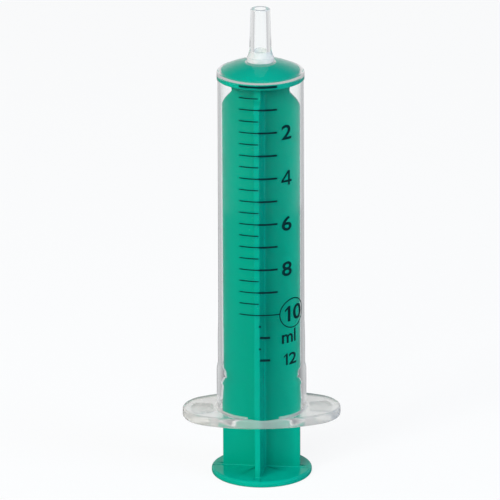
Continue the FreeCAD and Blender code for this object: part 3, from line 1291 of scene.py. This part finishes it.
@dataclass
class Studio:
    """White floor and backdrop in a dim room, soft lamps and the camera."""

    floor_size: float = 6000.0
    floor_colour: float = 0.9
    shade_kept: float = 0.12      # share of the floor's look that comes from its own light and shadow
    ambient: float = 0.25
    mirrored_inside: float = 0.8  # brightness of the floor behind, mirrored inside clear walls
    mirrored_above: float = 0.56  # brightness of the room, mirrored there
    mirrored_near: float = 0.06   # brightness of the room, mirrored by glossy outsides
    mirrored_far: float = 0.9     # brightness of the backdrop, mirrored by them
    backdrop: Point = (0.15, 0.6)     # metres back, over which the floor that they mirror brightens
    horizon: Point = (0.3, 0.7)   # rise of the mirrored direction, over which the room darkens
    behind: Point = (0.0, 0.6)    # cosine from straight behind, over which inner walls' floor brightens
    beyond: Point = (0.272, 0.284)    # metres from the axis, past which it is bright all round
    all_round: float = 0.78       # share of the brightness behind that the floor has there
    camera_distance: float = 1250.0
    camera_height: float = 458.4
    camera_turn: float = -2.2
    aim: Triple = (-2.258, 0.087, 47.9)
    roll: float = -0.22
    lens: float = 465.2
    sensor: float = 36.0
    sight: float = 20.0           # metres that the camera sees
    lit_place: Triple = (0.0, 0.0, 50.0)
    lamps: tuple[Lamp, ...] = (
        Lamp("key", (-600, -640, 640), (300, 300), 4.0, (1.0, 1.0, 0.92)),
        Lamp("front", (-300, -870, 560), (300, 300), 3.0, (1.0, 1.0, 0.95)),
        Lamp("fill", (1000, -580, 600), (600, 600), 6.6, (0.6, 0.83, 1.17)),
        Lamp("overhead", (-150, -330, 1050), (400, 400), 3.1, (0.66, 0.89, 1.15)),
        Lamp("spark", (-760, -700, 260), (80, 420), 1.2, (1.0, 1.0, 1.0), mirrored=True),
    )

    def seen(self, sheet: NodeSheet) -> Socket:
        """Tells what shows, straight, through clear plastic or in gloss, from what only gives light.

        Args:
            sheet: The nodes of the floor or the world.

        Returns:
            An output that is 1 for what shows and 0 for the rest.
        """
        path = sheet.add("LightPath").outputs
        clear = sheet.maths("MAXIMUM", path["Is Transmission Ray"], path["Is Glossy Ray"])
        return sheet.maths("MAXIMUM", path["Is Camera Ray"], clear)

    def brightness(self, sheet: NodeSheet, outside: Socket, inside: Socket | float) -> Socket:
        """Gives the brightness that shows: white, or less in mirror images.

        Args:
            sheet: The nodes of the floor or the world.
            outside: Brightness that glossy outsides mirror.
            inside: Brightness that the clear plastic's walls mirror inside.

        Returns:
            The brightness's output.
        """
        path = sheet.add("LightPath").outputs
        mirrored = sheet.blend(path["Transmission Depth"], (0, 1), outside, inside)
        return sheet.blend(path["Glossy Depth"], (0, 1), 1.0, mirrored)

    def floor(self) -> None:
        """Lays the floor, which looks white and keeps a soft shadow."""
        Bench.deselect()
        bpy.ops.mesh.primitive_plane_add(size=self.floor_size * MM, location=(0, 0, 0))
        floor = bpy.context.object
        floor.name = "floor"
        material = bpy.data.materials.new("floor")
        sheet = NodeSheet(material)
        place = sheet.add("TexCoord").outputs["Object"]
        side = sheet.add("SeparateXYZ")
        sheet.join(place, side.inputs["Vector"])
        outside = sheet.blend(side.outputs["Y"], self.backdrop, self.mirrored_near, self.mirrored_far)
        away = sheet.add("VectorMath", operation="LENGTH")
        sheet.join(place, away.inputs[0])
        bearing = sheet.add("VectorMath", operation="NORMALIZE")
        sheet.join(place, bearing.inputs[0])
        behind = sheet.add("SeparateXYZ")
        sheet.join(bearing.outputs["Vector"], behind.inputs["Vector"])
        lit = sheet.maths("MAXIMUM", sheet.blend(behind.outputs["Y"], self.behind, 0.0, 1.0),
                          sheet.blend(away.outputs["Value"], self.beyond, 0.0, self.all_round))
        inside = sheet.blend(lit, (0, 1), self.mirrored_near, self.mirrored_inside)
        glow = sheet.add("Emission")
        sheet.join(self.brightness(sheet, outside, inside), glow.inputs["Strength"])
        cloth = sheet.add("BsdfDiffuse")
        cloth.inputs["Color"].default_value = (*(self.floor_colour,) * 3, 1)
        share = sheet.maths("MULTIPLY", self.seen(sheet), 1 - self.shade_kept)
        sheet.show(sheet.mix(share, cloth.outputs["BSDF"], glow.outputs["Emission"]))
        floor.data.materials.append(material)

    def world(self) -> None:
        """Surrounds the scene with soft light that looks white, also through clear plastic."""
        world = bpy.data.worlds.new("studio")
        bpy.context.scene.world = world
        sheet = NodeSheet(world)
        direction = sheet.add("SeparateXYZ")
        sheet.join(sheet.add("TexCoord").outputs["Generated"], direction.inputs["Vector"])
        outside = sheet.blend(direction.outputs["Z"], self.horizon, self.mirrored_far,
                              self.mirrored_near)
        background = sheet.add("Background")
        background.inputs["Color"].default_value = (1, 1, 1, 1)
        level = sheet.blend(self.seen(sheet), (0, 1), self.ambient,
                            self.brightness(sheet, outside, self.mirrored_above))
        sheet.join(level, background.inputs["Strength"])
        sheet.show(background.outputs["Background"], "OutputWorld")

    def hang(self, lamp: Lamp) -> None:
        """Hangs a lamp that faces the syringe.

        Args:
            lamp: The lamp's place, size and light.
        """
        Bench.deselect()
        place = Vector(lamp.place)
        bpy.ops.object.light_add(type="AREA", location=place * MM)
        light = bpy.context.object
        light.name = lamp.name
        light.rotation_euler = (Vector(self.lit_place) - place).to_track_quat("-Z", "Y").to_euler()
        light.data.shape = "RECTANGLE"
        light.data.size, light.data.size_y = (side * MM for side in lamp.size)
        light.data.energy = lamp.power
        light.data.color = lamp.colour
        light.visible_glossy = lamp.mirrored
        light.visible_transmission = lamp.mirrored

    def camera(self) -> None:
        """Sets the camera at the photograph's viewing angle."""
        turn = math.radians(self.camera_turn)
        place = Vector((self.camera_distance * math.sin(turn), -self.camera_distance * math.cos(turn),
                        self.camera_height))
        Bench.deselect()
        bpy.ops.object.camera_add(location=place * MM)
        camera = bpy.context.object
        look = (Vector(self.aim) - place).to_track_quat("-Z", "Y").to_matrix()
        camera.rotation_euler = (look @ Matrix.Rotation(math.radians(self.roll), 3, "Z")).to_euler()
        camera.data.lens = self.lens
        camera.data.sensor_width = self.sensor
        camera.data.clip_end = self.sight
        bpy.context.scene.camera = camera

    def build(self) -> None:
        """Sets up the floor, the lamps, the camera and the picture's colours."""
        self.camera()
        self.floor()
        self.world()
        for lamp in self.lamps:
            self.hang(lamp)
        bpy.context.scene.view_settings.view_transform = "Standard"


def main() -> None:
    """Builds the syringe and its studio, and logs how many faces each piece has."""
    logging.basicConfig(level=logging.INFO, format="%(message)s")
    Studio().build()
    barrel = Barrel()
    plunger = Plunger(barrel)
    scale = VolumeScale(barrel)
    for maker in (plunger, barrel, scale):
        made = maker.build()
        maker.dress(made)
        for piece in made if isinstance(made, list) else [made]:
            LOG.info("%s: %d faces", piece.name, len(piece.data.polygons))


if __name__ == "__main__":
    main()
